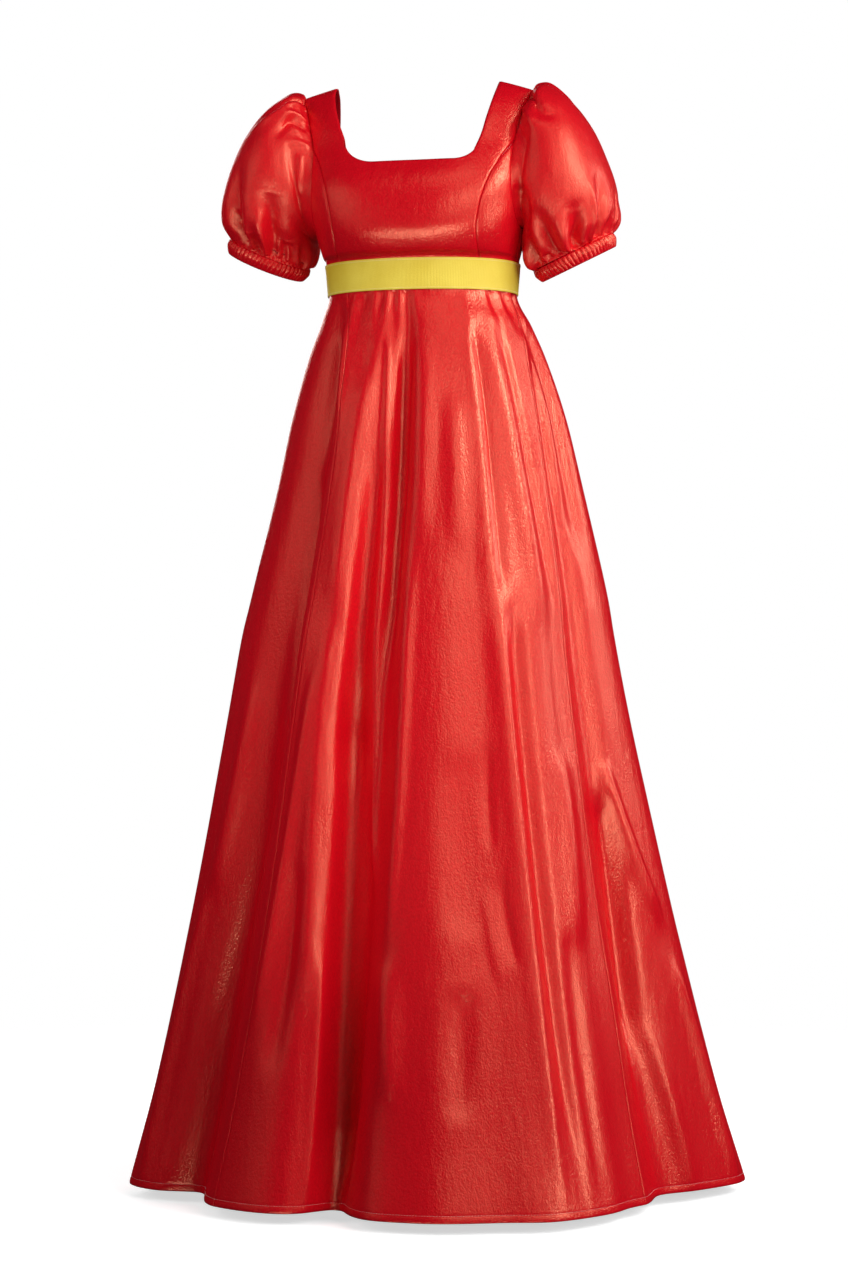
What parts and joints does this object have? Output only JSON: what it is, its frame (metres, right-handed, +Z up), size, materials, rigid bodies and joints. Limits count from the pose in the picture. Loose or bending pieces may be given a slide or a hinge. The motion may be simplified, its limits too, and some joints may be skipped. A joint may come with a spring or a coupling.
{
  "type": "regency gown",
  "caption": "Full-length regency gown as worn: square neck, puff sleeves on elastic cuffs, ribbon band at a raised waist, long flared skirt in deep folds",
  "frame": {"origin": "on the centre line, level with the top of the shoulder straps beside the neck, where the wearer's shoulders carry the gown", "axes": "+Z up along the body, front faces -Y, +X is the wearer's left"},
  "size_m": [0.7875, 0.7031, 1.4234],
  "materials": {
    "satin": "smooth polyester satin, soft sheen",
    "ribbon": "woven satin ribbon, matt gold yellow"
  },
  "bodies": {
    "root": {"bodice_front": "satin", "bodice_side_front_left": "satin", "bodice_side_front_right": "satin", "bodice_back_left": "satin", "bodice_back_right": "satin", "sleeve_left": "satin", "sleeve_right": "satin", "cuff_left": "satin", "cuff_right": "satin", "waist_band": "ribbon", "skirt_front": "satin", "skirt_back_left": "satin", "skirt_back_right": "satin"}
  },
  "joints": []
}
